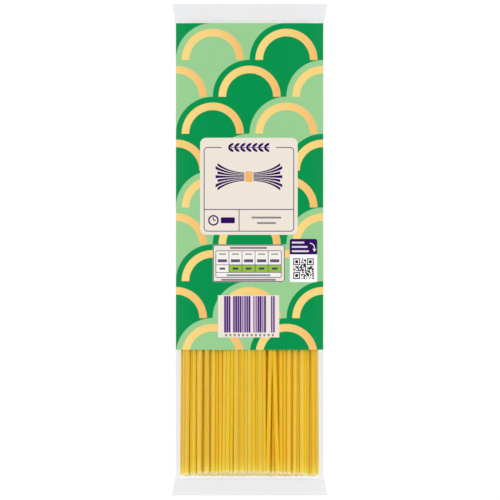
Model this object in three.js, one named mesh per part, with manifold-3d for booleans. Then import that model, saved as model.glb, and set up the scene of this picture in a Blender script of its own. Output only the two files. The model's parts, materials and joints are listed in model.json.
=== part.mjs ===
// A 500 g packet of spaghetti, lying on its back: a film bag sealed flat at its head and its foot,
// printed over two thirds of its length and clear below, where the bundle of pasta shows.
// Millimetres. X runs across the packet, Y from its foot to its head, Z up from the table.

import * as THREE from "three";
import { mergeVertices } from "three/addons/utils/BufferGeometryUtils.js";
import Module from "manifold-3d";

// The packet over all
const packLength = 280;
const bodyWidth = 84;
const packThickness = 24;
const creaseHeight = 10; // of the side creases and of both end seals above the table

// The flat end seals and the short shoulders between them and the body
const sealLength = 9;
const sealEndWidth = 88.5;
const sealThickness = 0.8;
const sealWave = 0.7; // how far a seal's free edge waves up and down
const sealWaves = 1.5; // the waves across a seal
const shoulderLength = 2.5;

// The bundle of pasta
const bundleWidth = 78.6;
const strandDiameter = 2.4;
const strandPitch = 2.43; // along the outline of the bundle
const footSpread = 1.018; // the bundle is this much wider at its cut ends
const coreInset = 0.9; // of the core from the outside of the bundle
const coreShort = 1.2; // how far the core stops inside the cut ends
const placeShift = 0.3; // how far a strand lies from its even place, as a share of the pitch
const mostSunk = 0.7; // how far a strand may lie below the others
const mostSway = 0.6; // how far its cut end may lie to one side
const mostShort = 0.9; // how far its cut end may stop inside the others

// The clear window, from the print's lower edge to the cut ends
const windowHead = -57;
const windowFoot = -128;
const sideMargin = 2.1; // of clear film beside the bundle, each side

// The lengthwise seam on the back
const seamWidth = 11;
const seamThickness = 0.6;
const seamGrooveWidth = 1.1;
const seamGrooveDepth = 0.35;

const gap = 0.3; // between the film and the pasta
const crownPower = 2.2; // how square the bundle's upper half is
const bellyPower = 4; // how square its lower half is
const bellyPress = 1.06; // the table flattens the belly by this much

const halfBody = bodyWidth / 2;
const halfWindow = halfBody - sideMargin;
const halfSeal = sealEndWidth / 2;
const halfBundle = bundleWidth / 2;
const halfLength = packLength / 2;
const sealStart = halfLength - sealLength;
const shoulderStart = sealStart - shoulderLength;
const crownHeight = packThickness - creaseHeight - sealThickness / 2;
const bellyDepth = creaseHeight - sealThickness / 2;
const strandRadius = strandDiameter / 2;

const wasm = await Module();
wasm.setup();

// A closed geometry as a solid that can be joined and cut.
function solidOf(geometry) {
  const bare = geometry.clone();
  bare.deleteAttribute("normal");
  bare.deleteAttribute("uv");
  const merged = mergeVertices(bare, 1e-4);
  return new wasm.Manifold(
    new wasm.Mesh({
      numProp: 3,
      vertProperties: merged.attributes.position.array,
      triVerts: new Uint32Array(merged.index.array),
    }),
  );
}

// A solid as a geometry again.
function geometryOf(solid) {
  const mesh = solid.getMesh();
  const geometry = new THREE.BufferGeometry();
  geometry.setAttribute("position", new THREE.BufferAttribute(mesh.vertProperties, 3));
  geometry.setIndex(new THREE.BufferAttribute(mesh.triVerts, 1));
  return geometry;
}

// A box between two corners.
function boxSolid(low, high) {
  const geometry = new THREE.BoxGeometry(high[0] - low[0], high[1] - low[1], high[2] - low[2]);
  geometry.translate((low[0] + high[0]) / 2, (low[1] + high[1]) / 2, (low[2] + high[2]) / 2);
  return solidOf(geometry);
}

// The height of a superellipse of that half width and height, x from its middle.
function archHeight(x, halfWidth, height, power) {
  const across = Math.min(Math.abs(x) / halfWidth, 1);
  return height * (1 - across ** power) ** (1 / power);
}

// Film drawn taut over that arch and down to a crease further out: it leaves the arch on a tangent.
function tautHeight(x, height, power) {
  const leaves = (halfBundle ** power / halfBody) ** (1 / (power - 1));
  const across = Math.abs(x);
  if (across <= leaves) return archHeight(across, halfBundle, height, power);
  const atTangent = archHeight(leaves, halfBundle, height, power);
  return (atTangent * (halfBody - across)) / (halfBody - leaves);
}

const filmCrown = (x) => tautHeight(x, crownHeight, crownPower);
const filmBelly = (x) => Math.min(bellyDepth, tautHeight(x, bellyDepth * bellyPress, bellyPower));

// One ring of the bag: full scales the body's section, half is its half width, and wave lifts a seal.
function bagRing(y, full, half, wave) {
  const steps = 30; // from one crease to the other
  const ring = [];
  for (const side of [1, -1]) {
    for (let i = 0; i <= steps; i += 1) {
      const x = halfBody * Math.cos((Math.PI * i) / steps) * side;
      const height = side > 0 ? filmCrown(x) : filmBelly(x);
      const lift = wave * Math.sin((2 * Math.PI * sealWaves * x) / bodyWidth);
      const z = creaseHeight + lift + side * (sealThickness / 2 + full * height);
      ring.push(new THREE.Vector3((x * half) / halfBody, y, z));
    }
  }
  return ring;
}

// The rings of one end, from the body outwards: end is 1 at the head and -1 at the foot.
function endRings(end) {
  const profile = [
    // share of the shoulder's length, share of the body's thickness
    [0, 1],
    [0.22, 0.97],
    [0.42, 0.86],
    [0.6, 0.62],
    [0.76, 0.32],
    [0.9, 0.09],
    [1, 0],
  ];
  const rings = profile.map(([along, full]) => {
    const flare = (along * shoulderLength) / (shoulderLength + sealLength);
    const half = halfBody + (halfSeal - halfBody) * flare;
    return bagRing(end * (shoulderStart + along * shoulderLength), full, half, 0);
  });
  const sealSteps = 3;
  for (let i = 1; i <= sealSteps; i += 1) {
    const along = i / sealSteps;
    const flare = (shoulderLength + along * sealLength) / (shoulderLength + sealLength);
    const half = halfBody + (halfSeal - halfBody) * flare;
    rings.push(bagRing(end * (sealStart + along * sealLength), 0, half, sealWave * along * end));
  }
  return rings;
}

// A closed skin over rings of equal length, each end shut by a strip between its upper and lower halves.
function loft(rings) {
  const count = rings[0].length;
  const index = [];
  for (let r = 0; r + 1 < rings.length; r += 1) {
    for (let i = 0; i < count; i += 1) {
      const a = r * count + i;
      const b = r * count + ((i + 1) % count);
      index.push(a, a + count, b, b, a + count, b + count);
    }
  }
  const last = (rings.length - 1) * count;
  for (let i = 0; i < count / 2 - 1; i += 1) {
    const [a, b, c, d] = [i, i + 1, count - 2 - i, count - 1 - i];
    index.push(a, b, c, a, c, d);
    index.push(last + a, last + c, last + b, last + a, last + d, last + c);
  }
  const geometry = new THREE.BufferGeometry().setFromPoints(rings.flat());
  geometry.setIndex(index);
  return geometry;
}

// The film bag: solid where the print hides the inside, open in the clear window,
// where only its side margins and the seam on the back run on to the foot seal.
function filmBag() {
  const skin = loft([...endRings(-1).reverse(), ...endRings(1)]);
  const window = boxSolid([-halfWindow, windowFoot, -1], [halfWindow, windowHead, packThickness + 1]);
  const halfSeam = seamWidth / 2;
  const seam = boxSolid([-halfSeam, windowFoot - gap, 0], [halfSeam, windowHead + gap, seamThickness]);
  let bag = solidOf(skin).subtract(window).add(seam);
  for (const side of [-1, 1]) {
    const inner = side * halfSeam;
    const outer = inner + side * seamGrooveWidth;
    bag = bag.subtract(
      boxSolid(
        [Math.min(inner, outer), windowHead + gap, -1],
        [Math.max(inner, outer), shoulderStart, seamGrooveDepth],
      ),
    );
  }
  return geometryOf(bag);
}

// A fixed run of numbers from 0 to 1, so that the bundle is the same each time.
function seededRandom(seed) {
  let state = seed;
  return () => {
    state = (state * 1664525 + 1013904223) % 4294967296;
    return state / 4294967296;
  };
}

// Points round the bundle, inset from the film, as x and z.
function bundleOutline(inset, count) {
  const outline = [];
  for (let i = 0; i < count; i += 1) {
    const turn = (2 * Math.PI * i) / count;
    const upper = Math.sin(turn) >= 0;
    const x = (halfBundle - inset) * Math.cos(turn);
    const top = archHeight(x, halfBundle - inset, crownHeight + sealThickness / 2 - inset, crownPower);
    const bottom = archHeight(x, halfBundle - inset, bellyDepth * bellyPress - inset, bellyPower);
    const depth = Math.min(bottom, creaseHeight - inset);
    outline.push(new THREE.Vector2(x, creaseHeight + (upper ? top : -depth)));
  }
  return outline;
}

// The bundle's core, a little shorter than the strands that lie round it.
function bundleCore(head, foot) {
  const facets = 72;
  const section = new THREE.Shape(bundleOutline(coreInset, facets));
  const core = new THREE.ExtrudeGeometry(section, { depth: head - foot, bevelEnabled: false });
  core.rotateX(Math.PI / 2);
  core.translate(0, head, 0);
  return solidOf(core);
}

// One strand of the outer layer, from the print's edge to its own cut end.
function strand(place, head, foot, sway) {
  const sides = 8;
  const steps = 5;
  const section = new THREE.Shape();
  for (let i = 0; i < sides; i += 1) {
    const turn = (2 * Math.PI * i) / sides;
    const point = [strandRadius * Math.cos(turn), strandRadius * Math.sin(turn)];
    if (i === 0) section.moveTo(...point);
    else section.lineTo(...point);
  }
  section.closePath();
  const stations = [0, 0.35, 0.7, 1];
  const reach = halfWindow - gap - strandRadius;
  const path = new THREE.CatmullRomCurve3(
    stations.map((along) => {
      const spread = 1 + (footSpread - 1) * along;
      const x = THREE.MathUtils.clamp(place.x * spread + sway * along * along, -reach, reach);
      return new THREE.Vector3(x, head + (foot - head) * along, place.y);
    }),
  );
  return solidOf(new THREE.ExtrudeGeometry(section, { extrudePath: path, steps, bevelEnabled: false }));
}

// The pasta that shows in the window: a core with its outer layer of strands fused on.
function pastaBundle() {
  const head = windowHead - gap;
  const foot = windowFoot + gap;
  const seed = 7;
  const random = seededRandom(seed);
  const outlinePoints = 360;
  const ring = bundleOutline(strandRadius, outlinePoints).map((p) => new THREE.Vector3(p.x, p.y, 0));
  const outline = new THREE.CatmullRomCurve3(ring, true);
  const count = Math.floor(outline.getLength() / strandPitch);
  const middle = new THREE.Vector2(0, packThickness / 2);
  const pieces = [bundleCore(head, foot + coreShort)];
  for (let i = 0; i < count; i += 1) {
    const at = outline.getPointAt((i + placeShift * random()) / count);
    const place = new THREE.Vector2(at.x, at.y);
    const sunk = mostSunk * random() ** 2;
    place.add(middle.clone().sub(place).setLength(sunk));
    const sway = mostSway * (2 * random() - 1);
    pieces.push(strand(place, head, foot + mostShort * random(), sway));
  }
  const seamRoom = boxSolid(
    [-seamWidth / 2 - 2 * gap, foot - 1, -1],
    [seamWidth / 2 + 2 * gap, head + 1, seamThickness + gap],
  );
  return geometryOf(wasm.Manifold.union(pieces).subtract(seamRoom));
}

function part(name, geometry, colour, roughness) {
  const material = new THREE.MeshStandardMaterial({ color: colour, roughness, metalness: 0 });
  const mesh = new THREE.Mesh(geometry, material);
  mesh.name = name;
  return mesh;
}

const packet = new THREE.Group();
packet.add(part("film_bag", filmBag(), 0x02934e, 0.3));
packet.add(part("spaghetti", pastaBundle(), 0xdeb430, 0.55));

export default packet;
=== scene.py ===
"""A film packet of spaghetti that lies on its back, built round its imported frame.

Metres, in the frame's own axes: X across the packet, Y from its foot to its head, Z up from the table.
"""

import functools
import json
import math

import bpy
import numpy as np
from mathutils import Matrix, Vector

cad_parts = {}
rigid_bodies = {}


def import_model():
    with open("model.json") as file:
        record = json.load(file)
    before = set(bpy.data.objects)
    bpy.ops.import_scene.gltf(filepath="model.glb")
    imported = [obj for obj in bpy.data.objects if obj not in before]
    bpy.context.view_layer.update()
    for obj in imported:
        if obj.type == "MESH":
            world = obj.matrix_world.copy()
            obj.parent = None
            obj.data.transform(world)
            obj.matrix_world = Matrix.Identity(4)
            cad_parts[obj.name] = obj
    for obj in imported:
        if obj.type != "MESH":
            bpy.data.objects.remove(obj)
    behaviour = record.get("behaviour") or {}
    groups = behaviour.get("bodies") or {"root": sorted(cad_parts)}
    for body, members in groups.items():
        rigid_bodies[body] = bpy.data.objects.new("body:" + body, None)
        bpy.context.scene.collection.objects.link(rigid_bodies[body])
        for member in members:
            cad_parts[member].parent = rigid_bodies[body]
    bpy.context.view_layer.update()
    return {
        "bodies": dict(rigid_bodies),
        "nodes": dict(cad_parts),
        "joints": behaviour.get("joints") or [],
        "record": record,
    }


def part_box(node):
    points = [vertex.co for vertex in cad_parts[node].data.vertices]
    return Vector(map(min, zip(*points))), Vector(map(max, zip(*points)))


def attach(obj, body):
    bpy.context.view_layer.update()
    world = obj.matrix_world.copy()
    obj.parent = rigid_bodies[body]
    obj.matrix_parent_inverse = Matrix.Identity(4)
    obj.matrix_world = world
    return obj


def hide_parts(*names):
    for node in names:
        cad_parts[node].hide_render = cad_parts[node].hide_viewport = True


bl_info = {
    "name": "Spaghetti Packet",
    "version": (1, 0, 0),
    "blender": (4, 5, 0),
    "location": "3D View > Sidebar > Spaghetti Packet",
    "description": "Builds a printed film packet of spaghetti with a clear window",
    "category": "Add Mesh",
}

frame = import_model()

MM = 0.001
BODY = "root"

BAG_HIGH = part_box("film_bag")[1]
PASTA_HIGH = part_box("spaghetti")[1]
HALF_LENGTH = BAG_HIGH.y
HALF_SEAL = BAG_HIGH.x
THICKNESS = BAG_HIGH.z
WINDOW_HEAD = round(PASTA_HIGH.y / MM) * MM

# The reference photograph shows the packet straight from the front, in a frame of 500 x 500 pixels
PHOTO_PIXELS = 500
PHOTO_PIXEL = 0.57 * MM
PHOTO_MIDDLE_X = 249.6
PHOTO_MIDDLE_Y = 249.75

# The bundle's section, squarer below where the table presses it
CROWN_POWER = 2.2
BELLY_POWER = 4
BELLY_PRESS = 1.02

# The film's mesh: its columns across, and its rows along the body, a shoulder and a seal
COLUMN_STEP = 0.35 * MM
ROW_STEP = 3 * MM
SHOULDER_ROWS = 12
SEAL_ROWS = 6

# The film's small folds at its shoulders, seals and side creases
SHOULDER_BEND = 1.6
SEAL_WAVES = 1.5
PUCKER_REACH = 5 * MM
PUCKER_EDGE = 0.8
PUCKER_WIDE = 1.9 * MM
PUCKER_NARROW = 1.13 * MM
RIPPLE_LONG = 6.1 * MM
RIPPLE_SHORT = 3.7 * MM
RIPPLE_EDGE = (0.78, 0.93)

# How the film dips between the strands, and lies on the table
DIP_COLUMNS = 3
DIP_EASE = 0.7 * MM
DEEPEST_GAP = 2 * MM
STRAND_GAP = 0.02 * MM
TABLE_GAP = 0.03 * MM
PRESS_EASE = 1 * MM

# The folded seam on the back
SEAM_LIFT = 0.02 * MM
SEAM_EASE = 2.5 * MM
SEAM_ROW = 4 * MM
SEAM_COLUMNS = 9
SEAM_RIPPLE = 0.15 * MM
SEAM_RIPPLE_LENGTH = 7 * MM
SEAM_CURL = 0.08 * MM
SEAM_CURL_LENGTH = 11 * MM
SEAM_CURL_WIDTH = 2 * MM

# How the strands are packed, from a honeycomb that is pressed together
STRAND_SEED = 90
STATIONS = 7
HALF_COLUMNS = 30
HALF_ROWS = 12
FIRST_PITCH = 0.93
ROW_PITCH = 0.87
FIRST_SCATTER = 0.3 * MM
FILM_PLAY = 0.15 * MM
ROUNDS = 360
PAIRS_EVERY = 15
PAIR_REACH = 1.6
PUSH = 0.35
HOLLOW_WAVES = ((1.32 * MM, 1), (0.76 * MM, 3), (0.6 * MM, 0))
HOLLOW_LEVEL = 0.3
HOLLOW_SWING = 0.45

# How each strand looks
FINISH_SEED = 5
STRAND_SIDES = 14
DIAMETER_SPREAD = 0.012


def linear(red, green, blue):
    """A colour given as it shows on a screen, from 0 to 255, as the shaders take it."""
    shown = np.array([red, green, blue]) / 255
    bright = ((shown + 0.055) / 1.055) ** 2.4
    return tuple(np.where(shown <= 0.04045, shown / 12.92, bright))


def number(name, description, default, **limits):
    """A number that a user can change."""
    return bpy.props.FloatProperty(name=name, description=description, default=default, min=0, **limits)


def length(name, description, default):
    """A size that a user can change."""
    return number(name, description, default, unit="LENGTH", precision=5)


def share(name, description, default):
    """A share from none to all that a user can change."""
    return number(name, description, default, max=1, subtype="FACTOR")


def colour(name, description, default):
    """A colour that a user can change."""
    return bpy.props.FloatVectorProperty(
        name=name, description=description, default=default, subtype="COLOR", size=3, min=0, max=1
    )


class FilmSizes(bpy.types.PropertyGroup):
    """The sizes of the film bag."""

    body_width: length("Body Width", "Width across the side creases", 84 * MM)
    crease_height: length("Crease Height", "Height of the creases and end seals", 10 * MM)
    seal_length: length("Seal Length", "Length of each flat end seal", 9 * MM)
    shoulder_length: length("Shoulder Length", "Length of the slope from body to seal", 3.2 * MM)
    seal_wave: length("Seal Wave", "Height of the waves in a seal's free edge", 0.7 * MM)
    film_thickness: length("Film Thickness", "Space between the two films of a seal", 0.1 * MM)
    film_dip: length("Film Dip", "How far the film sinks between two strands", 0.16 * MM)
    pucker: length("Pucker", "Height of the small pleats beside the shoulders", 0.3 * MM)
    ripple: length("Ripple", "Height of the long waves beside the side creases", 0.35 * MM)
    print_head: length("Print Head", "Where the print's upper edge lies", 129.1 * MM)
    seam_width: length("Seam Width", "Width of the lengthwise seam on the back", 11 * MM)
    seam_thickness: length("Seam Thickness", "Thickness of the folded seam", 0.3 * MM)


class PastaSizes(bpy.types.PropertyGroup):
    """The sizes of the spaghetti."""

    count: bpy.props.IntProperty(name="Count", description="Strands in the packet", default=278, min=1)
    diameter: length("Diameter", "Diameter of a dry strand", 2.4 * MM)
    strand_length: length("Strand Length", "Length of a strand", 256 * MM)
    bundle_width: length("Bundle Width", "Width of the whole bundle", 78.6 * MM)
    foot_spread: share("Foot Spread", "How much wider the bundle is at its foot", 0.012)
    lean: length("Lean", "How far a strand's ends lean to the side", 1.5 * MM)
    sink: length("Sink", "How far a strand's ends lean up or down", 0.4 * MM)
    hollow: length("Hollow", "How far some strands lie below the film", 1.3 * MM)
    cut_slope: length("Cut Slope", "How much further the middle layer reaches than the outer", 2.4 * MM)
    cut_stagger: length("Cut Stagger", "How unevenly the cut ends lie", 0.5 * MM)


class PrintColours(bpy.types.PropertyGroup):
    """The inks of the print."""

    dark_green: colour("Dark Green", "Deep ground of the pattern", linear(2, 147, 78))
    light_green: colour("Light Green", "Pale ground of the pattern", linear(154, 208, 148))
    yellow: colour("Yellow", "Bright end of the arcs", linear(251, 217, 133))
    orange: colour("Orange", "Warm end of the arcs", linear(246, 184, 108))
    cream: colour("Cream", "Ground of the panels", linear(239, 231, 218))
    purple: colour("Purple", "Lines, bars and headers", linear(50, 6, 90))
    lilac: colour("Lilac", "Paler bars", linear(184, 148, 206))
    lime: colour("Lime", "Fields of the table", linear(149, 193, 72))
    white: colour("White", "Ground of the code", linear(254, 254, 254))
    black: colour("Black", "Blocks of the code", linear(16, 8, 22))


class PastaColours(bpy.types.PropertyGroup):
    """The tones of dry durum wheat, with the light and shade that are painted on the strands."""

    ground: colour("Ground", "Face of a strand", linear(226, 187, 43))
    # Painted light: a brighter yellow for the strands' sides just below the film, where shade falls
    # between touching strands
    flank_light: colour("Flank", "Sides of a strand", linear(246, 205, 32))
    pale: colour("Pale", "Paler strands and streaks", linear(244, 214, 100))
    # Painted shade: a saturated orange for strands that lie deep below the film, in the shade of the
    # gaps between strands
    gap_shade: colour("Deep", "Depth of the gaps between strands", linear(250, 189, 2))
    # Painted light: a brighter yellow for the last stretch before the cut ends, where light comes in
    # through the cut faces
    end_light: colour("Glow", "Last stretch before the cut ends", linear(255, 230, 96))
    cut_end: colour("Cut End", "The cut ends", linear(255, 230, 180))


class StageSettings(bpy.types.PropertyGroup):
    """The camera, the light and the floor."""

    lens: number("Lens", "Focal length", 1200, unit="CAMERA")
    floor_size: length("Floor Size", "Width of the floor", 6)
    floor_grey: share("Floor Grey", "How much light the floor throws back", 0.17)
    floor_glow: number("Floor Glow", "Light that the floor gives of itself", 0.87)
    zenith: number("Zenith", "Light from straight above", 0.6)
    sides: number("Sides", "Light from the sides", 1.04)


# The form of the film


def arch(x, half_width, height, power):
    """Height of a superellipse of that half width and height, x from its middle."""
    across = np.clip(np.abs(x) / half_width, 0, 1)
    return height * (1 - across**power) ** (1 / power)


def taut(x, half_inner, half_outer, height, power):
    """Film drawn over such an arch and straight down to a crease further out."""
    leaves = (half_inner**power / half_outer) ** (1 / (power - 1))
    at_tangent = arch(leaves, half_inner, height, power)
    straight = at_tangent * (half_outer - np.abs(x)) / (half_outer - leaves)
    return np.where(np.abs(x) <= leaves, arch(x, half_inner, height, power), straight)


def smooth(value, low, high):
    """A soft step from 0 at low to 1 at high."""
    t = np.clip((value - low) / (high - low), 0, 1)
    return t * t * (3 - 2 * t)


class Film:
    """The film bag as heights over the table. x is taken across the body, before the seals flare."""

    def __init__(self, film, pasta):
        self.film = film
        self.pasta = pasta
        self.half = film.body_width / 2
        self.half_bundle = pasta.bundle_width / 2
        self.seal_start = HALF_LENGTH - film.seal_length
        self.shoulder_start = self.seal_start - film.shoulder_length
        self.crease = film.crease_height
        self.crown = THICKNESS - self.crease
        self.belly = self.crease - film.film_thickness / 2 - TABLE_GAP
        self.x = np.linspace(-self.half, self.half, 2 * round(self.half / COLUMN_STEP) + 1)
        self.shell = film.film_thickness / 2 * (1 - (self.x / self.half) ** 8)

    def beyond(self, y):
        """How far y lies past the start of its shoulder."""
        return np.abs(y) - self.shoulder_start

    def fullness(self, y):
        """The body's thickness at y as a share of its full one: it closes over the shoulder."""
        along = np.clip(self.beyond(y) / self.film.shoulder_length, 0, 1)
        return np.maximum(np.cos(np.pi / 2 * along**SHOULDER_BEND), 0) ** SHOULDER_BEND

    def flare(self, y):
        """The width at y as a share of the body's: the flattened ends are wider."""
        reach = self.film.shoulder_length + self.film.seal_length
        return 1 + (HALF_SEAL / self.half - 1) * np.clip(self.beyond(y) / reach, 0, 1)

    def wave(self, y):
        """How far the seal waves up or down, across the body."""
        along = np.clip((np.abs(y) - self.seal_start) / self.film.seal_length, 0, 1)
        turns = 2 * np.pi * SEAL_WAVES * self.x / self.film.body_width
        return self.film.seal_wave * np.sign(y) * along * np.sin(turns)

    def puckers(self, y):
        """Small pleats that run a short way up the body from each shoulder, in other places at each."""
        near = np.exp(-np.abs(self.beyond(y)) / PUCKER_REACH)
        inside = smooth(np.abs(self.x), self.half, self.half * PUCKER_EDGE)
        wide = np.sin(self.x / PUCKER_WIDE + 0.7 * np.sign(y))
        narrow = np.sin(self.x / PUCKER_NARROW + 2.1 * np.sign(y))
        return self.film.pucker * near * inside * np.clip(0.6 * wide + 0.4 * narrow, 0, 1)

    def ripples(self, y):
        """Long waves in the film where it slopes down to its side creases."""
        across = np.abs(self.x) / self.half
        side = np.sign(self.x)
        wave = np.sin(y / RIPPLE_LONG + side) + np.sin(y / RIPPLE_SHORT - 2 * side)
        beside = smooth(across, *RIPPLE_EDGE) * (1 - across**16)
        return self.film.ripple * beside * np.clip(wave / 2, 0, 1)

    def dips(self, y, nominal, side):
        """How far the film sinks between the strands under it. side is 1 above and -1 below."""
        centres = bundle().at(y)
        offset = self.x[:, None] - centres[None, :, 0]
        radius = self.pasta.diameter / 2
        rise = np.sqrt(np.clip(radius**2 - offset**2, 0, None))
        far_below = -1
        outer = side * (centres[None, :, 1] - self.crease) + rise
        surface = np.where(rise > 0, outer, far_below)
        gap = np.clip(nominal - surface.max(axis=1), 0, DEEPEST_GAP)
        kernel = np.hanning(2 * DIP_COLUMNS + 3)[1:-1]
        even = np.convolve(np.pad(gap, DIP_COLUMNS, mode="edge"), kernel / kernel.sum(), mode="valid")
        dip = self.film.film_dip * (1 - np.exp(-even / DIP_EASE))
        edge = 1 - (np.abs(self.x) / self.half) ** 12
        return np.minimum(dip, np.clip(gap - STRAND_GAP, 0, None)) * edge

    @functools.cache
    def upper(self, y):
        """Heights of the front film across the body at y."""
        nominal = taut(self.x, self.half_bundle, self.half, self.crown, CROWN_POWER)
        lift = nominal - self.dips(y, nominal, 1) + self.puckers(y) + self.ripples(y)
        return self.crease + self.wave(y) + self.shell + self.fullness(y) * lift

    @functools.cache
    def lower(self, y):
        """Heights of the back film across the body at y, flat where it lies on the table."""
        height = self.crease * BELLY_PRESS
        nominal = np.minimum(taut(self.x, self.half_bundle, self.half, height, BELLY_POWER), self.belly)
        seam = self.film.seam_width / 2
        room = self.film.seam_thickness * (1 - smooth(np.abs(self.x), seam, seam + SEAM_EASE))
        depth = np.minimum(nominal, self.belly - room)
        depth = depth - self.dips(y, depth, -1) * smooth(self.belly - depth, 0, PRESS_EASE)
        return self.crease + self.wave(y) - self.shell - self.fullness(y) * depth

    def depth(self, x, z):
        """How far a place lies below the film."""
        up = z - self.crease
        height = np.where(up > 0, self.crown, self.belly)
        power = np.where(up > 0, CROWN_POWER, BELLY_POWER)
        out = np.abs(x / self.half_bundle) ** power + np.abs(up / height) ** power
        return (1 - out ** (1 / power)) * height

    def rows(self, low, high):
        """Places along Y from low to high, close together on the shoulders and seals."""
        shoulder = np.linspace(self.shoulder_start, self.seal_start, SHOULDER_ROWS + 1)
        seal = np.linspace(self.seal_start, HALF_LENGTH, SEAL_ROWS + 1)
        ends = np.concatenate([shoulder, seal])
        body_low = max(low, -self.shoulder_start)
        body_high = min(high, self.shoulder_start)
        body = np.linspace(body_low, body_high, max(2, round((body_high - body_low) / ROW_STEP) + 1))
        marks = np.concatenate([[low, high], -ends, ends, body])
        touching = 1e-9
        inside = marks[(marks >= low - touching) & (marks <= high + touching)]
        return sorted({round(float(mark), 7) for mark in inside})


# The bundle of strands


class Strands:
    """Where each strand's middle line runs: centres is strand x station x (x, z)."""

    def __init__(self, stations, centres):
        self.stations = stations
        self.centres = centres

    def at(self, y):
        """The middles of all strands at y."""
        place = np.clip(y, self.stations[0], self.stations[-1])
        after = int(np.clip(np.searchsorted(self.stations, place), 1, len(self.stations) - 1))
        low, high = self.stations[after - 1], self.stations[after]
        t = (place - low) / (high - low)
        return self.centres[:, after - 1] * (1 - t) + self.centres[:, after] * t


def hollows(x, depth):
    """How far the top of the bundle lies below the film: some strands lie higher than others."""
    wave = sum(np.sin(x / wavelength + start) for wavelength, start in HOLLOW_WAVES)
    return depth * np.clip(HOLLOW_LEVEL - HOLLOW_SWING * wave, 0, 1)


def confined(centres, spread, pasta, film):
    """The strands moved back inside the film, each towards the middle of the bundle."""
    inset = pasta.diameter / 2 + FILM_PLAY
    half = (pasta.bundle_width / 2 - inset) * spread
    x = centres[..., 0]
    z = centres[..., 1] - film.crease_height
    above = THICKNESS - film.crease_height - inset - hollows(x, pasta.hollow)
    below = film.crease_height - inset
    power = np.where(z >= 0, CROWN_POWER, BELLY_POWER)
    height = np.where(z >= 0, above, below * BELLY_PRESS)
    out = (np.abs(x) / half) ** power + (np.abs(z) / height) ** power
    scale = np.where(out > 1, np.maximum(out, 1) ** (-1 / power), 1)
    table = inset + film.seam_thickness + film.film_thickness
    return np.stack([x * scale, np.maximum(film.crease_height + z * scale, table)], axis=-1)


def honeycomb(pitch):
    """Places x, z of a honeycomb wider than the bundle, its columns a pitch apart."""
    columns = np.arange(-HALF_COLUMNS, HALF_COLUMNS + 1)
    rows = np.arange(-HALF_ROWS, HALF_ROWS + 1)
    column, row = np.meshgrid(columns, rows)
    return np.stack([(column + row % 2 / 2) * pitch, row * pitch * ROW_PITCH], -1).reshape(-1, 2)


@functools.cache
def bundle():
    """The strands, pushed apart until they lie side by side, and kept straight. Worked out once."""
    pasta = bpy.context.scene.packet_pasta
    film = bpy.context.scene.packet_film
    rng = np.random.default_rng(STRAND_SEED)
    end = pasta.strand_length / 2
    stations = np.linspace(-end, end, STATIONS)
    along = stations / end
    spread = 1 + pasta.foot_spread * (WINDOW_HEAD - stations) / (WINDOW_HEAD + end)
    cells = honeycomb(pasta.diameter * FIRST_PITCH)
    cells[:, 1] += film.crease_height
    moved = confined(cells, 1, pasta, film)
    inside = cells[np.abs(moved - cells).max(axis=1) < 1e-9]
    chosen = inside[rng.permutation(len(inside))[: pasta.count]]
    start = chosen + rng.normal(0, FIRST_SCATTER, chosen.shape)
    lean = rng.normal(0, 1, (len(start), 2)) * [pasta.lean, pasta.sink]
    centres = start[:, None, :] + lean[:, None, :] * along[None, :, None]
    line = np.stack([np.ones(STATIONS), along], axis=1)
    straighten = line @ np.linalg.pinv(line)
    for turn in range(ROUNDS):
        if turn % PAIRS_EVERY == 0:
            pairs = close_pairs(centres, pasta.diameter * PAIR_REACH)
        gap = centres[pairs[:, 0]] - centres[pairs[:, 1]]
        distance = np.maximum(np.linalg.norm(gap, axis=2, keepdims=True), 1e-6)
        overlap = np.clip(pasta.diameter - distance, 0, None)
        push = gap / distance * overlap * PUSH
        np.add.at(centres, pairs[:, 0], push)
        np.subtract.at(centres, pairs[:, 1], push)
        centres = confined(centres, spread[None, :], pasta, film)
        centres = np.einsum("st,nte->nse", straighten, centres)
    mirrored = centres * [-1, 1]
    return Strands(stations, mirrored)


def close_pairs(centres, reach):
    """Pairs of strands that come within reach of each other anywhere."""
    first, second = np.triu_indices(len(centres), 1)
    near = np.zeros(len(first), bool)
    for station in range(centres.shape[1]):
        gap = centres[first, station] - centres[second, station]
        near |= (gap**2).sum(axis=1) < reach**2
    return np.stack([first[near], second[near]], axis=1)


@functools.cache
def film_shape():
    """The film bag's form, worked out once."""
    scene = bpy.context.scene
    return Film(scene.packet_film, scene.packet_pasta)


# Making meshes


def grid_faces(columns, rows):
    """Quads of a grid of rows that run from -X to +X, facing up, each row further along Y."""
    row, column = np.meshgrid(np.arange(rows - 1), np.arange(columns - 1), indexing="ij")
    a = (row * columns + column).ravel()
    return np.stack([a, a + 1, a + columns + 1, a + columns], axis=1)


def piece(name, points, faces, uv=None):
    """A new mesh object. uv gives each face corner its place on the print, in metres."""
    sharp = math.radians(50)
    mesh = bpy.data.meshes.new(name)
    mesh.from_pydata(np.asarray(points).tolist(), [], [list(map(int, face)) for face in faces])
    mesh.polygons.foreach_set("use_smooth", np.ones(len(mesh.polygons), bool))
    mesh.set_sharp_from_angle(angle=sharp)
    if uv is not None:
        layer = mesh.uv_layers.new(name="Print")
        layer.uv.foreach_set("vector", np.asarray(uv, np.float32).ravel())
    mesh.update()
    obj = bpy.data.objects.new(name, mesh)
    bpy.context.scene.collection.objects.link(obj)
    return obj


def film_points(shape, rows, heights):
    """Points of one film, row by row from -X to +X."""
    blocks = []
    for y in rows:
        x = shape.x * shape.flare(y)
        blocks.append(np.stack([x, np.full_like(x, y), heights(y)], axis=1))
    return np.concatenate(blocks)


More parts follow.
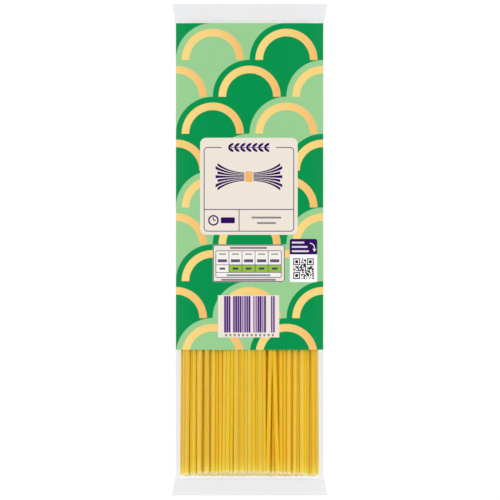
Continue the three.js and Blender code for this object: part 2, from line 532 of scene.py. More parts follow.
def film_tube(shape, low, high):
    """Both films of the bag from low to high: points, faces, and each corner's place on the print."""
    rows = shape.rows(low, high)
    top = film_points(shape, rows, shape.upper)
    bottom = film_points(shape, rows, shape.lower)
    over = grid_faces(len(shape.x), len(rows))
    under = over[:, ::-1] + len(top)
    points = np.concatenate([top, bottom])
    faces = np.concatenate([over, under])
    u = np.tile(shape.x, 2 * len(rows))[faces]
    middle = np.sign(u.mean(axis=1, keepdims=True))
    wraps = np.arange(len(faces))[:, None] >= len(over)
    u = np.where(wraps, middle * 2 * shape.half - u, u)
    v = points[faces, 1]
    return points, faces, np.stack([u, v], axis=-1)


def welded(points, faces, uv):
    """The same surface with points that lie on each other made one."""
    apart = 1e-6
    keys = np.round(points / apart).astype(np.int64)
    _, index, back = np.unique(keys, axis=0, return_index=True, return_inverse=True)
    return points[index], back.reshape(-1)[faces], uv


def tube_faces(count, stations, sides):
    """The walls and both caps of that many tubes, whose rings are numbered one after another."""
    station, side = np.meshgrid(np.arange(stations - 1), np.arange(sides), indexing="ij")
    a = (station * sides + side).ravel()
    b = (station * sides + (side + 1) % sides).ravel()
    wall = np.stack([a, a + sides, b + sides, b], axis=1)
    starts = np.arange(count) * stations * sides
    faces = (wall[None] + starts[:, None, None]).reshape(-1, 4).tolist()
    ring = np.arange(sides)
    for start in starts:
        faces.append((start + ring).tolist())
        faces.append((start + (stations - 1) * sides + ring[::-1]).tolist())
    return faces


def end_strip(count, columns, last):
    """Faces that shut a seal's free edge between two films of count points each."""
    top = np.arange(columns) + (count - columns if last else 0)
    bottom = top + count
    strip = np.stack([top[:-1], bottom[:-1], bottom[1:], top[1:]], axis=1)
    return strip[:, ::-1] if last else strip


# Node arithmetic


def fill(node, inputs):
    """The node with each input set to its value, or linked to the field or socket that feeds it."""
    for slot, value in inputs.items():
        source = value.socket if isinstance(value, Field) else value
        if isinstance(source, bpy.types.NodeSocket):
            node.id_data.links.new(source, node.inputs[slot])
        else:
            node.inputs[slot].default_value = source
    return node


def new_node(tree, kind, inputs=None, **settings):
    """A new node with these settings and inputs."""
    node = tree.nodes.new(kind)
    for name, value in settings.items():
        setattr(node, name, value)
    return fill(node, inputs or {})


class Field:
    """A number that varies over a surface: an output socket that takes part in sums."""

    def __init__(self, tree, socket):
        self.tree = tree
        self.socket = socket

    def math(self, operation, *others):
        """A Math node fed with this number and the others."""
        inputs = dict(enumerate((self, *others)))
        node = new_node(self.tree, "ShaderNodeMath", inputs, operation=operation)
        return Field(self.tree, node.outputs[0])

    __add__ = functools.partialmethod(math, "ADD")
    __sub__ = functools.partialmethod(math, "SUBTRACT")
    __mul__ = functools.partialmethod(math, "MULTIPLY")
    __truediv__ = functools.partialmethod(math, "DIVIDE")
    __mod__ = functools.partialmethod(math, "FLOORED_MODULO")
    __abs__ = functools.partialmethod(math, "ABSOLUTE")
    floor = functools.partialmethod(math, "FLOOR")
    below = functools.partialmethod(math, "LESS_THAN")
    above = functools.partialmethod(math, "GREATER_THAN")
    most = functools.partialmethod(math, "MAXIMUM")
    least = functools.partialmethod(math, "MINIMUM")

    def between(self, low, high):
        """How far this number has come from low to high, from 0 to 1."""
        return ((self - low) / (high - low)).most(0).least(1)

    def pick(self, yes, no):
        """yes where this number is 1 and no where it is 0."""
        return self * yes + (self * -1 + 1) * no

    def hypot(self, other):
        """The length of the two as a step across and a step up."""
        return (self * self + other * other).math("SQRT")


class Ink:
    """A material whose colour is painted in layers, one over the other."""

    def __init__(self, name, ground, roughness, specular):
        self.material = bpy.data.materials.new(name)
        self.material.use_nodes = True
        self.tree = self.material.node_tree
        self.shader = self.tree.nodes["Principled BSDF"]
        fill(self.shader, {"Roughness": roughness, "Specular IOR Level": specular})
        self.colour = ground

    def place(self):
        """The place on the print, across and up, in mm."""
        print_map = new_node(self.tree, "ShaderNodeUVMap", uv_map="Print")
        split = new_node(self.tree, "ShaderNodeSeparateXYZ", {0: print_map.outputs["UV"]})
        return [Field(self.tree, split.outputs[axis]) / MM for axis in "XY"]

    def attribute(self, name):
        """A number that each point of the mesh keeps."""
        node = new_node(self.tree, "ShaderNodeAttribute", attribute_name=name)
        return Field(self.tree, node.outputs["Fac"])

    def grain(self, stretch, detail):
        """Noise from 0 to 1 over the object, with that many waves to a metre along each axis."""
        place = new_node(self.tree, "ShaderNodeTexCoord").outputs["Object"]
        scaled = new_node(self.tree, "ShaderNodeMapping", {"Vector": place, "Scale": stretch})
        inputs = {"Vector": scaled.outputs[0], "Scale": 1, "Detail": detail}
        return Field(self.tree, new_node(self.tree, "ShaderNodeTexNoise", inputs).outputs["Fac"])

    def chance(self, column, row=None):
        """A number from 0 to 1 drawn for each whole column, or for each column and row."""
        middle = column.floor() + 0.5
        inputs, dimensions = {"W": middle}, "1D"
        if row is not None:
            cell = new_node(self.tree, "ShaderNodeCombineXYZ", {0: middle, 1: row.floor() + 0.5})
            inputs, dimensions = {"Vector": cell.outputs[0]}, "2D"
        noise = new_node(self.tree, "ShaderNodeTexWhiteNoise", inputs, noise_dimensions=dimensions)
        return Field(self.tree, noise.outputs["Value"])

    def mix(self, below, above, mask):
        """above over below by the mask. A colour is three numbers or a socket."""
        inputs = {0: mask}
        for slot, value in ((6, below), (7, above)):
            inputs[slot] = value if isinstance(value, bpy.types.NodeSocket) else (*value[:3], 1)
        return new_node(self.tree, "ShaderNodeMix", inputs, data_type="RGBA").outputs[2]

    def paint(self, above, mask):
        """Another layer of colour where the mask is 1."""
        self.colour = self.mix(self.colour, above, mask)

    def mottled(self, amount):
        """The finished material, with a slight unevenness, so that no field is quite flat."""
        spread = self.grain((900, 900, 900), 4) * (2 * amount) + (1 - amount)
        inputs = {"Value": spread, "Color": self.colour}
        self.colour = new_node(self.tree, "ShaderNodeHueSaturation", inputs).outputs["Color"]
        return self.done()

    def done(self):
        """The finished material."""
        fill(self.shader, {"Base Color": self.colour})
        return self.material


# The print, in mm from the packet's middle. A box is its left, foot, right and head.


def rounded_box(u, v, box, corner=0.0):
    """Distance outside a box, negative within it."""
    left, foot, right, head = box
    across = abs(u - (left + right) / 2) - ((right - left) / 2 - corner)
    up = abs(v - (foot + head) / 2) - ((head - foot) / 2 - corner)
    outside = across.most(0).hypot(up.most(0))
    return outside + across.most(up).least(0) - corner


def bar(u, v, box, corner=0.0):
    """1 within such a box."""
    return rounded_box(u, v, box, corner).below(0)


def outline(u, v, box, corner, width):
    """1 on a line of that width round such a box."""
    return abs(rounded_box(u, v, box, corner)).below(width / 2)


def centred(x, y, half_width, half_height):
    """The box of that size round a place."""
    return x - half_width, y - half_height, x + half_width, y + half_height


def photo_x(pixel):
    """A pixel column of the photograph as a place across the packet."""
    return (pixel - PHOTO_MIDDLE_X) * PHOTO_PIXEL / MM


def photo_y(pixel):
    """A pixel row of the photograph as a place along the packet."""
    return (PHOTO_MIDDLE_Y - pixel) * PHOTO_PIXEL / MM


def photo_box(left, head, right, foot):
    """A box given by its pixels in the photograph."""
    return photo_x(left), photo_y(foot), photo_x(right), photo_y(head)


def printed(name, ground):
    """An ink on the film, and its places across and up."""
    roughness, specular = 0.28, 0.04
    ink = Ink(name, ground, roughness, specular)
    return ink, *ink.place()


FILM_MOTTLE = 0.015
PANEL_MOTTLE = 0.01

SCALE_RADIUS = 21
SCALE_SHIFT = 3.1
SCALE_BAND = 4.3
SCALE_BAND_MIDDLE = 0.74

LABEL_BOX = photo_box(200.2, 137.9, 297.6, 234.8)
LABEL_FRAME = photo_box(204.2, 147.6, 293.7, 231.2)
LABEL_DIVIDER = photo_y(209.5)
LABEL_POST = photo_x(239.1)
LABEL_MIDDLE = (LABEL_BOX[0] + LABEL_BOX[2]) / 2
LABEL_LINE = 0.44
FRAME_LINE = 0.45
CLOCK_X = -20.6
NOTE_X = -12.4
NOTE_HALF_WIDTH = 4
NOTE_HALF_HEIGHT = 1.7
LINES_X = 9.6
LINES_RISE = 1.55

TABLE_BOX = photo_box(212.9, 244.7, 284.8, 281.9)
TABLE_CELLS = photo_box(215.9, 250.8, 281.2, 277.3)
TABLE_UPPER = photo_y(264.8)
TABLE_LOWER = photo_y(272.4)
TABLE_COLUMNS = 5
TABLE_LINE = 0.32

CODE_BOX = photo_box(289.7, 238.9, 317.2, 282.1)
CODE_SQUARE = photo_box(293.2, 258.3, 313.7, 278.9)
CODE_HEADER = photo_y(254.4)
CODE_CELLS = 21
CODE_LINES = (7.1, 8.9, 9.7)
CODE_LINE_PITCH = 2.45

BARS_BOX = photo_box(218.0, 295.2, 279.2, 337.3)
BARS_FIELD = photo_box(224.0, 296.0, 275.0, 332.4)
BARS_COUNT = 23
TICKS_COUNT = 12


def pattern_ink(inks):
    """Staggered rows of fish scales in two greens, each with a golden arc."""
    ink, u, v = printed("printed film", inks.dark_green)
    v = v - SCALE_SHIFT
    radius = SCALE_RADIUS
    row = (v / radius).floor()

    def scale(row_number):
        """How far across its scale a place in that row lies, and the scale's tone."""
        stagger = (row_number % 2) * radius
        column = ((u - stagger) / (2 * radius) + 0.5).floor()
        across = u - stagger - column * (2 * radius)
        return across, (column + (row_number / 2).floor()) % 2

    across, near_tone = scale(row)
    far_tone = scale(row + 1)[1]
    near = across.hypot(v - row * radius)
    covers = near.below(radius)
    ink.paint(inks.light_green, covers.pick(near_tone, far_tone))
    warmth = across / (2 * radius) + 0.5
    gold = ink.mix(inks.yellow, inks.orange, warmth * warmth)
    band = abs(near - radius * SCALE_BAND_MIDDLE).below(SCALE_BAND / 2)
    ink.paint(gold, band)
    return ink.mottled(FILM_MOTTLE)


def label_lines(u, v):
    """A thin frame, open at its head for the ear, and the two lines that part its fields."""
    left, foot, right, head = LABEL_FRAME
    corner, half_gap, gap_foot = 2, 15.5, head - 3
    gap = abs(u - LABEL_MIDDLE).below(half_gap) * v.above(gap_foot)
    frame = outline(u, v, LABEL_FRAME, corner, FRAME_LINE) * (gap * -1 + 1)
    divider = (left, LABEL_DIVIDER - LABEL_LINE / 2, right, LABEL_DIVIDER + LABEL_LINE / 2)
    post = (LABEL_POST - LABEL_LINE / 2, foot, LABEL_POST + LABEL_LINE / 2, LABEL_DIVIDER)
    return frame.most(bar(u, v, divider)).most(bar(u, v, post))


def leaf(across, up, length_along, width, turn):
    """1 within a leaf shape turned by an angle."""
    along = across * math.cos(turn) + up * math.sin(turn)
    aside = up * math.cos(turn) - across * math.sin(turn)
    return (along / (length_along / 2)).hypot(aside / (width / 2)).below(1)


def wheat_ear(across, up):
    """An ear of wheat that lies across, with grains on both sides of its stem."""
    pitch, half_stem, half_ear = 3.4, 0.22, 11.9
    grain_middle, grain_length, grain_width, grain_turn = 1.35, 3.6, 1.5, math.radians(35)
    step = (across + pitch / 2) % pitch - pitch / 2
    grain = leaf(step, abs(up) - grain_middle, grain_length, grain_width, grain_turn)
    return grain.most(abs(up).below(half_stem)) * abs(across).below(half_ear)


def sheaf(across, up):
    """A sheaf of straws that spreads from its middle to both of its ragged ends."""
    half_length, half_middle, straws = 19, 2.2, 7
    reach = abs(across) / half_length
    half_width = reach * reach * reach * 5.4 + reach * 1.6 + half_middle
    fan = up / half_width
    straw = fan * (straws / 2) + straws / 2
    ragged = (straw.floor() % 2) * 0.06 + 0.94
    return abs(straw % 1 - 0.5).below(0.34) * abs(fan).below(1) * reach.below(ragged)


def clock(u, v, x, y):
    """A clock face with two hands."""
    radius, half_line, half_hand, long_hand, short_hand = 2.6, 0.42, 0.3, 1.8, 1.4
    face = abs((u - x).hypot(v - y) - radius).below(half_line)
    upright = bar(u, v, (x - half_hand, y, x + half_hand, y + long_hand))
    level = bar(u, v, (x, y - half_hand, x + short_hand, y + half_hand))
    return face.most(upright).most(level)


def label_ink(inks):
    """The cream front panel: a thin frame with an ear of wheat, a tied sheaf and two small fields."""
    ink, u, v = printed("label print", inks.cream)
    _, foot, _, head = LABEL_FRAME
    across = u - LABEL_MIDDLE
    ink.paint(inks.purple, label_lines(u, v))
    ink.paint(inks.purple, wheat_ear(across, v - head))
    up = v - (LABEL_DIVIDER + head) / 2 - 1
    ink.paint(inks.purple, sheaf(across, up))
    tie = rounded_box(across, up, centred(0, 0, 2.1, 3.1), 0.9)
    ink.paint(inks.cream, tie.below(FRAME_LINE))
    ink.paint(inks.orange, tie.below(0))
    field = (foot + LABEL_DIVIDER) / 2
    ink.paint(inks.purple, clock(u, v, CLOCK_X, field))
    note = centred(NOTE_X, field, NOTE_HALF_WIDTH, NOTE_HALF_HEIGHT)
    ink.paint(inks.purple, bar(u, v, note, 0.6))
    for y, half_width in ((field + LINES_RISE, 8.4), (field - LINES_RISE, 5.4)):
        line = bar(u, v, centred(LINES_X, y, half_width, 0.55), 0.3)
        ink.paint(inks.purple, line * 0.7)
    return ink.mottled(PANEL_MOTTLE)


def table_lines(u, v, local, pitch):
    """The lines between the table's cells and round them."""
    corner, half_line, inset = 0.8, TABLE_LINE / 2, 0.3
    rules = abs(local).above(pitch / 2 - half_line) * v.above(TABLE_LOWER)
    for rule in (TABLE_UPPER, TABLE_LOWER):
        rules = rules.most(abs(v - rule).below(half_line))
    rules = rules * bar(u, v, TABLE_CELLS, corner)
    left, foot, right, head = TABLE_BOX
    inner = (left + inset, foot + inset, right - inset, head - inset)
    edge = outline(u, v, TABLE_CELLS, corner, 0.36)
    return rules.most(edge).most(outline(u, v, inner, 1.2, 0.4))


def table_ink(inks):
    """A small table of five columns with blank bars, four of them with a lime field."""
    ink, u, v = printed("table print", inks.cream)
    left, foot, right, head = TABLE_CELLS
    pitch = (right - left) / TABLE_COLUMNS
    local = (u - left) % pitch - pitch / 2
    within = bar(u, v, TABLE_CELLS, 0.8)
    ink.paint(inks.white, within * 0.5)
    ink.paint(inks.lime, bar(u, v, (left + pitch, TABLE_LOWER, right, TABLE_UPPER)))
    ink.paint(inks.purple, table_lines(u, v, local, pitch))
    for y, half_width, half_height, strength in (
        (head - 1.9, 2.0, 0.45, 0.6),
        (TABLE_UPPER + 2.3, 2.6, 0.85, 0.9),
        ((TABLE_UPPER + TABLE_LOWER) / 2, 1.6, 0.6, 0.9),
    ):
        blank = abs(local).below(half_width) * abs(v - y).below(half_height)
        ink.paint(inks.purple, blank * within * strength)
    for y, half_width, half_height in (
        (head + 1.65, 10.5, 0.55),
        (foot + 1.2, 12.5, 0.5),
        (foot - 1.4, 15.5, 0.5),
    ):
        line = bar(u, v, centred((left + right) / 2, y, half_width, half_height), 0.3)
        ink.paint(inks.purple, line * 0.75)
    return ink.mottled(PANEL_MOTTLE)


def arrow(u, v, x, y):
    """A bent arrow that points down. Its bend is a quarter ring round x, y."""
    radius, half_line, stem, tip, tip_length = 2.6, 0.22, 0.6, 2.3, 1.7
    ring = abs((u - x).hypot(v - y) - radius).below(half_line)
    bend = ring * u.above(x) * v.above(y - stem)
    over_tip = v - (y - tip)
    head = abs(u - (x + radius)).below(over_tip * 0.6) * over_tip.below(tip_length)
    return bend.most(head)


def code_ink(inks):
    """A purple header with three short bars and an arrow, over a square of scattered blocks."""
    ink, u, v = printed("code print", inks.white)
    ink.paint(inks.purple, v.above(CODE_HEADER))
    start, right, head = CODE_BOX[0] + 1.2, CODE_BOX[2], CODE_BOX[3]
    for number, width in enumerate(CODE_LINES):
        y = head - 2.1 - CODE_LINE_PITCH * number
        ink.paint(inks.white, bar(u, v, (start, y - 0.5, start + width, y + 0.5), 0.25) * 0.75)
    ink.paint(inks.white, arrow(u, v, right - 4.2, head - 5.1))

    left, foot, right, head = CODE_SQUARE
    cell = (right - left) / CODE_CELLS
    filled = ink.chance((u - left) / cell, (v - foot) / cell).above(0.44)
    ink.paint(inks.black, filled * bar(u, v, CODE_SQUARE))
    span = 7 * cell
    for x, y in ((left, head - span), (right - span, head - span), (left, foot)):
        square = rounded_box(u, v, (x, y, x + span, y + span))
        ink.paint(inks.white, square.below(cell))
        ink.paint(inks.black, square.below(0) * square.above(-cell))
        ink.paint(inks.black, square.below(-2 * cell))
    return ink.mottled(PANEL_MOTTLE)


def bars_ink(inks):
    """Upright bars of uneven widths, purple with lilac edges, and a row of ticks under them."""
    ink, u, v = printed("bars print", inks.cream)
    left, foot, right, _ = BARS_FIELD
    place = (u - left) / ((right - left) / BARS_COUNT)
    chance = ink.chance(place)
    present = bar(u, v, BARS_FIELD) * chance.above(0.12)
    aside = abs(place % 1 - 0.5)
    ink.paint(inks.lilac, present * chance.above(0.45) * 0.8)
    ink.paint(inks.lilac, aside.below(chance * 0.2 + 0.3) * present)
    ink.paint(inks.purple, aside.below(chance * 0.24 + 0.1) * present)
    pitch = (right - left) / TICKS_COUNT
    tick = abs((u - left) % pitch - pitch / 2).below(0.55) * abs(v - (foot - 1.5)).below(0.7)
    ink.paint(inks.purple, tick * bar(u, v, (left, foot - 3, right, foot)) * 0.7)
    return ink.mottled(PANEL_MOTTLE)


# The film and the pasta


def clear_material(name, through, haze):
    """Clear film: see-through, with a little haze, and a shine that grows where it turns away."""
    material = bpy.data.materials.new(name)
    material.use_nodes = True
    tree = material.node_tree
    tree.nodes.clear()
    tint = (through - 0.004, through, through + 0.01, 1)
    clear = new_node(tree, "ShaderNodeBsdfTransparent", {"Color": tint})
    milk = new_node(tree, "ShaderNodeBsdfDiffuse", {"Color": (0.88, 0.9, 0.94, 1)})
    shine = new_node(tree, "ShaderNodeBsdfGlossy", {"Roughness": 0.12})
    turned = new_node(tree, "ShaderNodeLayerWeight", {"Blend": 0.5})
    away = Field(tree, turned.outputs["Facing"])
    veil = {0: away * away * 0.05 + haze, 1: clear.outputs[0], 2: milk.outputs[0]}
    veiled = new_node(tree, "ShaderNodeMixShader", veil)
    gloss = {0: away.math("POWER", 5) * 0.4 + 0.003, 1: veiled.outputs[0], 2: shine.outputs[0]}
    glossy = new_node(tree, "ShaderNodeMixShader", gloss)
    new_node(tree, "ShaderNodeOutputMaterial", {0: glossy.outputs[0]})
    return material


def pasta_material(paints):
    """Dry durum wheat pasta: warm yellow, pale at its cut ends, with painted light on the strands'
    sides just below the film, painted shade in the deep gaps between strands, and painted light on the
    last stretch before the cut ends.
    """
    roughness, specular, reach = 0.45, 0.2, 1 * MM
    flank_light_depths, gaps = (0.1 * MM, 0.6 * MM), (1.7 * MM, 3.2 * MM)
    end_light_stretch, cut_face = (11 * MM, 0), (1.5 * MM, 0.5 * MM)
    ink = Ink("spaghetti", paints.ground, roughness, specular)
    waxy = {"Subsurface Weight": 1, "Subsurface Radius": (1, 0.65, 0.15), "Subsurface Scale": reach}
    fill(ink.shader, waxy)
    tone, depth, cut = (ink.attribute(name) for name in ("tone", "depth", "cut"))
    lines = ink.grain((2200, 60, 2200), 3) * 0.5 + 0.75
    # Painted light: the strands' sides a little below the film are painted brighter, against the shade
    # between touching strands
    ink.paint(paints.flank_light, depth.between(*flank_light_depths))
    ink.paint(paints.pale, (tone * lines).least(1) * 0.58)
    # Painted shade: strands that lie deep below the film are painted a saturated orange, as they look
    # in shade
    ink.paint(paints.gap_shade, depth.between(*gaps))
    # Painted light: the last stretch before each cut end is painted brighter, for the light that comes
    # in through the cut faces
    end_light = cut.between(*end_light_stretch)
    ink.paint(paints.end_light, end_light * end_light)
    ink.paint(paints.cut_end, cut.between(*cut_face))
    return ink.done()


# The operators


def dressed(obj, slot, material, *nodes):
    """The piece given its material and its place in the frame. Its slot is not used."""
    obj.data.materials.append(material)
    if nodes:
        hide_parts(*nodes)
    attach(obj, BODY)


def seam_strip(shape, low, high):
    """The back seam from low to high: a folded strip, joined to the film along one side."""
    film = shape.film
    rows = np.linspace(low, high, max(2, round((high - low) / SEAM_ROW) + 1))
    half = film.seam_width / 2
    sections = []
    for y in rows:
        edge = -half + SEAM_RIPPLE * math.sin(y / SEAM_RIPPLE_LENGTH)
        x = np.linspace(edge, half, SEAM_COLUMNS)
        curl = SEAM_CURL * (1 + math.sin(y / SEAM_CURL_LENGTH))
        base = SEAM_LIFT + curl * (1 - smooth(x, edge, edge + SEAM_CURL_WIDTH))
        top = np.full_like(x, film.seam_thickness)
        loop = np.concatenate([np.stack([x, base], 1), np.stack([x, top], 1)[::-1]])
        sections.append(np.insert(loop, 1, y, axis=1))
    points = np.concatenate(sections)
    faces = tube_faces(1, len(rows), len(sections[0]))
    uv = [(2 * shape.half - abs(points[i][0]), points[i][1]) for face in faces for i in face]
    return points, faces, uv


def joined(*parts):
    """Several lots of points, faces and corner places as one."""
    points, faces, uv = [], [], []
    start = 0
    for some_points, some_faces, some_uv in parts:
        points.append(np.asarray(some_points))
        faces += [[int(i) + start for i in face] for face in some_faces]
        uv.append(np.asarray(some_uv, float).reshape(-1, 2))
        start += len(some_points)
    return np.concatenate(points), faces, np.concatenate(uv)


class PACKET_OT_printed_film(bpy.types.Operator):
    """Make the printed part of the bag, round the body from the window to the head"""

    bl_idname = "packet.printed_film"
    bl_label = "Printed Film"

    def execute(self, context):
        scene = context.scene
        shape = film_shape()
        tube = welded(*film_tube(shape, WINDOW_HEAD, shape.film.print_head))
        seam = seam_strip(shape, WINDOW_HEAD, shape.shoulder_start)
        film = piece("printed_film", *joined(tube, seam))
        dressed(film, "printed_film", pattern_ink(scene.packet_inks), "film_bag")
        return {"FINISHED"}


def front_panel(name, box, corner):
    """A panel of ink that lies on the front film. Its box and round corners are in mm."""
    shape = film_shape()
    left, foot, right, head, corner = (value * MM for value in (*box, corner))
    bend = corner * (1 - np.cos(np.linspace(0, np.pi / 2, 7)))
    straight = np.linspace(foot + corner, head - corner, max(3, round((head - foot) / ROW_STEP)))
    rows = np.unique(np.round(np.concatenate([foot + bend, straight, head - bend]), 7))
    columns = round((right - left) / COLUMN_STEP) + 1
    film_rows = np.array(shape.rows(WINDOW_HEAD, shape.film.print_head))
    ink_thickness = 0.03 * MM
    points = []
    for y in rows:
        into = max(foot + corner - y, y - (head - corner), 0)
        inset = corner - math.sqrt(max(corner**2 - into**2, 0))
        x = np.linspace(left + inset, right - inset, columns)
        after = int(np.clip(np.searchsorted(film_rows, y), 1, len(film_rows) - 1))
        low, high = film_rows[after - 1], film_rows[after]
        t = (y - low) / (high - low)
        line = shape.upper(float(low)) * (1 - t) + shape.upper(float(high)) * t
        z = np.interp(x, shape.x, line) + ink_thickness
        points.append(np.stack([x, np.full_like(x, y), z], axis=1))
    points = np.concatenate(points)
    faces = grid_faces(columns, len(rows))
    return piece(name, points, faces, points[faces][..., :2])


class PACKET_OT_panels(bpy.types.Operator):
    """Make the printed panels on the front: the label, the table, the code and the bars"""

    bl_idname = "packet.panels"
    bl_label = "Printed Panels"

    def execute(self, context):
        inks = context.scene.packet_inks
        for name, box, corner, ink in (
            ("label_print", LABEL_BOX, 3.4, label_ink),
            ("table_print", TABLE_BOX, 1.2, table_ink),
            ("code_print", CODE_BOX, 1.2, code_ink),
            ("bars_print", BARS_BOX, 0.1, bars_ink),
        ):
            dressed(front_panel(name, box, corner), "printed_film", ink(inks))
        return {"FINISHED"}


class PACKET_OT_clear_film(bpy.types.Operator):
    """Make the clear part of the bag: the window, the shoulders and both end seals"""

    bl_idname = "packet.clear_film"
    bl_label = "Clear Film"

    def execute(self, context):
        film = context.scene.packet_film
        shape = film_shape()
        parts = []
        for low, high in ((-HALF_LENGTH, WINDOW_HEAD), (film.print_head, HALF_LENGTH)):
            points, faces, uv = film_tube(shape, low, high)
            strip = end_strip(len(points) // 2, len(shape.x), high > 0)
            uv = np.concatenate([uv, points[strip][..., :2]])
            parts.append(welded(points, np.concatenate([faces, strip]), uv))
        parts.append(seam_strip(shape, -shape.shoulder_start, WINDOW_HEAD))
        bag = piece("clear_film", *joined(*parts))
        dressed(bag, "clear_film", clear_material("clear film", 0.97, 0.001), "film_bag")
        bag.data.materials.append(clear_material("sealed film", 0.92, 0.05))
        bag.data.materials.append(clear_material("creased film", 0.9, 0.05))
        sealed, creased = 1, 2
        for face in bag.data.polygons:
            if abs(face.center.y) > shape.seal_start - 0.5 * MM:
                face.material_index = sealed
            elif abs(face.center.x) > shape.half_bundle and face.center.z < film.crease_height:
                face.material_index = creased
        return {"FINISHED"}


def cut_back(strands, pasta, middle, rng):
    """Each strand's stations along Y, its ends cut back further the further out it lies."""
    y = np.broadcast_to(strands.stations, strands.centres.shape[:2]).copy()
    for end, inwards in ((0, 1), (-1, -1)):
        height = np.abs(strands.centres[:, end, 1] - middle) / (THICKNESS - middle)
        back = (height - 0.5) * pasta.cut_slope + rng.uniform(0, 1, len(y)) ** 2 * pasta.cut_stagger
        y[:, end] += inwards * back
    return y


class PACKET_OT_spaghetti(bpy.types.Operator):
    """Make the bundle of strands, from the head of the bag to the cut ends in the window"""

    bl_idname = "packet.spaghetti"
    bl_label = "Spaghetti"

    def execute(self, context):
        scene = context.scene
        pasta = scene.packet_pasta
        strands = bundle()
        rng = np.random.default_rng(FINISH_SEED)
        count, stations = strands.centres.shape[:2]
        turn = 2 * np.pi * np.arange(STRAND_SIDES) / STRAND_SIDES
        section = np.stack([np.cos(turn), np.sin(turn)], axis=1)
        radius = pasta.diameter / 2 * rng.normal(1, DIAMETER_SPREAD, count)
        ring = strands.centres[:, :, None, :] + radius[:, None, None, None] * section
        y = cut_back(strands, pasta, scene.packet_film.crease_height, rng)
        y_ring = np.broadcast_to(y[:, :, None, None], ring.shape[:3] + (1,))
        points = np.concatenate([ring[..., :1], y_ring, ring[..., 1:]], axis=-1).reshape(-1, 3)
        pack = piece("spaghetti_strands", points, tube_faces(count, stations, STRAND_SIDES))
        x = strands.at(-HALF_LENGTH)[:, 0]
        bands = np.sin(x / (0.66 * MM)) + np.sin(x / (1.1 * MM) + 2)
        tone = np.clip(rng.beta(2, 2, count) + 0.3 * bands, 0, 1)
        cut = np.minimum(y - y[:, :1], y[:, -1:] - y)
        for attribute, values in (
            ("tone", np.repeat(tone, stations * STRAND_SIDES)),
            ("cut", np.repeat(cut.ravel(), STRAND_SIDES)),
            ("depth", film_shape().depth(ring[..., 0], ring[..., 1]).ravel()),
        ):
            layer = pack.data.attributes.new(attribute, "FLOAT", "POINT")
            layer.data.foreach_set("value", values.astype(np.float32))
        dressed(pack, "spaghetti", pasta_material(scene.packet_tones), "spaghetti")
        return {"FINISHED"}


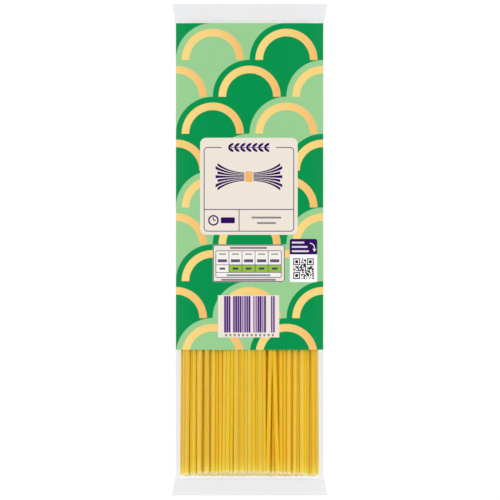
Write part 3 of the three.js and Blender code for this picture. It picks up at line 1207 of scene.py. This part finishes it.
class PACKET_OT_stage(bpy.types.Operator):
    """Make the floor, the soft studio light and the camera that looks straight down"""

    bl_idname = "packet.stage"
    bl_label = "Stage"

    def execute(self, context):
        settings = context.scene.packet_stage
        self.make_floor(settings)
        self.make_sky(context.scene, settings)
        self.make_camera(context.scene, settings)
        context.scene.view_settings.view_transform = "Standard"
        return {"FINISHED"}

    def make_floor(self, settings):
        """A plain pale floor."""
        half = settings.floor_size / 2
        corners = [(-half, -half, 0), (half, -half, 0), (half, half, 0), (-half, half, 0)]
        floor = piece("floor", corners, [(0, 1, 2, 3)])
        material = bpy.data.materials.new("floor")
        material.use_nodes = True
        shader = material.node_tree.nodes["Principled BSDF"]
        grey = (settings.floor_grey,) * 3
        fill(shader, {"Base Color": (*grey, 1), "Roughness": 0.9, "Specular IOR Level": 0})
        fill(shader, {"Emission Color": (1, 1, 1, 1), "Emission Strength": settings.floor_glow})
        floor.data.materials.append(material)

    def make_sky(self, scene, settings):
        """Soft light from all round, stronger from the sides than from straight above."""
        world = bpy.data.worlds.new("studio")
        scene.world = world
        world.use_nodes = True
        tree = world.node_tree
        place = new_node(tree, "ShaderNodeTexCoord").outputs["Generated"]
        up = Field(tree, new_node(tree, "ShaderNodeSeparateXYZ", {0: place}).outputs["Z"])
        zenith_width = 0.2
        aside = ((up * up * -1 + 1) / zenith_width).least(1)
        strength = aside * (settings.sides - settings.zenith) + settings.zenith
        fill(tree.nodes["Background"], {"Strength": strength, "Color": (1, 1, 1, 1)})

    def make_camera(self, scene, settings):
        """A long lens straight over the packet, framed as the photograph is."""
        data = bpy.data.cameras.new("camera")
        data.lens = settings.lens
        data.sensor_width = 36
        view = PHOTO_PIXELS * PHOTO_PIXEL
        distance = view * data.lens / data.sensor_width
        data.clip_end = 20
        camera = bpy.data.objects.new("camera", data)
        half = PHOTO_PIXELS / 2
        camera.location = (
            (half - PHOTO_MIDDLE_X) * PHOTO_PIXEL,
            (PHOTO_MIDDLE_Y - half) * PHOTO_PIXEL,
            scene.packet_film.crease_height + distance,
        )
        scene.collection.objects.link(camera)
        scene.camera = camera


class PACKET_PT_sidebar(bpy.types.Panel):
    """The packet's settings and its steps, in the 3D view's sidebar"""

    bl_idname = "PACKET_PT_sidebar"
    bl_label = "Spaghetti Packet"
    bl_space_type = "VIEW_3D"
    bl_region_type = "UI"
    bl_category = "Spaghetti Packet"

    def draw(self, context):
        for step in STEPS:
            self.layout.operator(step.bl_idname)
        for name, group in GROUPS.items():
            box = self.layout.box()
            for prop in group.__annotations__:
                box.prop(getattr(context.scene, name), prop)


STEPS = (
    PACKET_OT_stage,
    PACKET_OT_spaghetti,
    PACKET_OT_printed_film,
    PACKET_OT_panels,
    PACKET_OT_clear_film,
)
GROUPS = {
    "packet_film": FilmSizes,
    "packet_pasta": PastaSizes,
    "packet_inks": PrintColours,
    "packet_tones": PastaColours,
    "packet_stage": StageSettings,
}


def register():
    """Add the settings, the operators and the sidebar to Blender."""
    for group in GROUPS.values():
        bpy.utils.register_class(group)
    for name, group in GROUPS.items():
        setattr(bpy.types.Scene, name, bpy.props.PointerProperty(type=group))
    for step in STEPS:
        bpy.utils.register_class(step)
    bpy.utils.register_class(PACKET_PT_sidebar)


def unregister():
    """Take them out again."""
    bpy.utils.unregister_class(PACKET_PT_sidebar)
    for step in reversed(STEPS):
        bpy.utils.unregister_class(step)
    for name in GROUPS:
        delattr(bpy.types.Scene, name)
    for group in reversed(GROUPS.values()):
        bpy.utils.unregister_class(group)


def main():
    """Build the packet."""
    register()
    bpy.ops.packet.stage()
    bpy.ops.packet.spaghetti()
    bpy.ops.packet.printed_film()
    bpy.ops.packet.panels()
    bpy.ops.packet.clear_film()


if __name__ == "__main__":
    main()
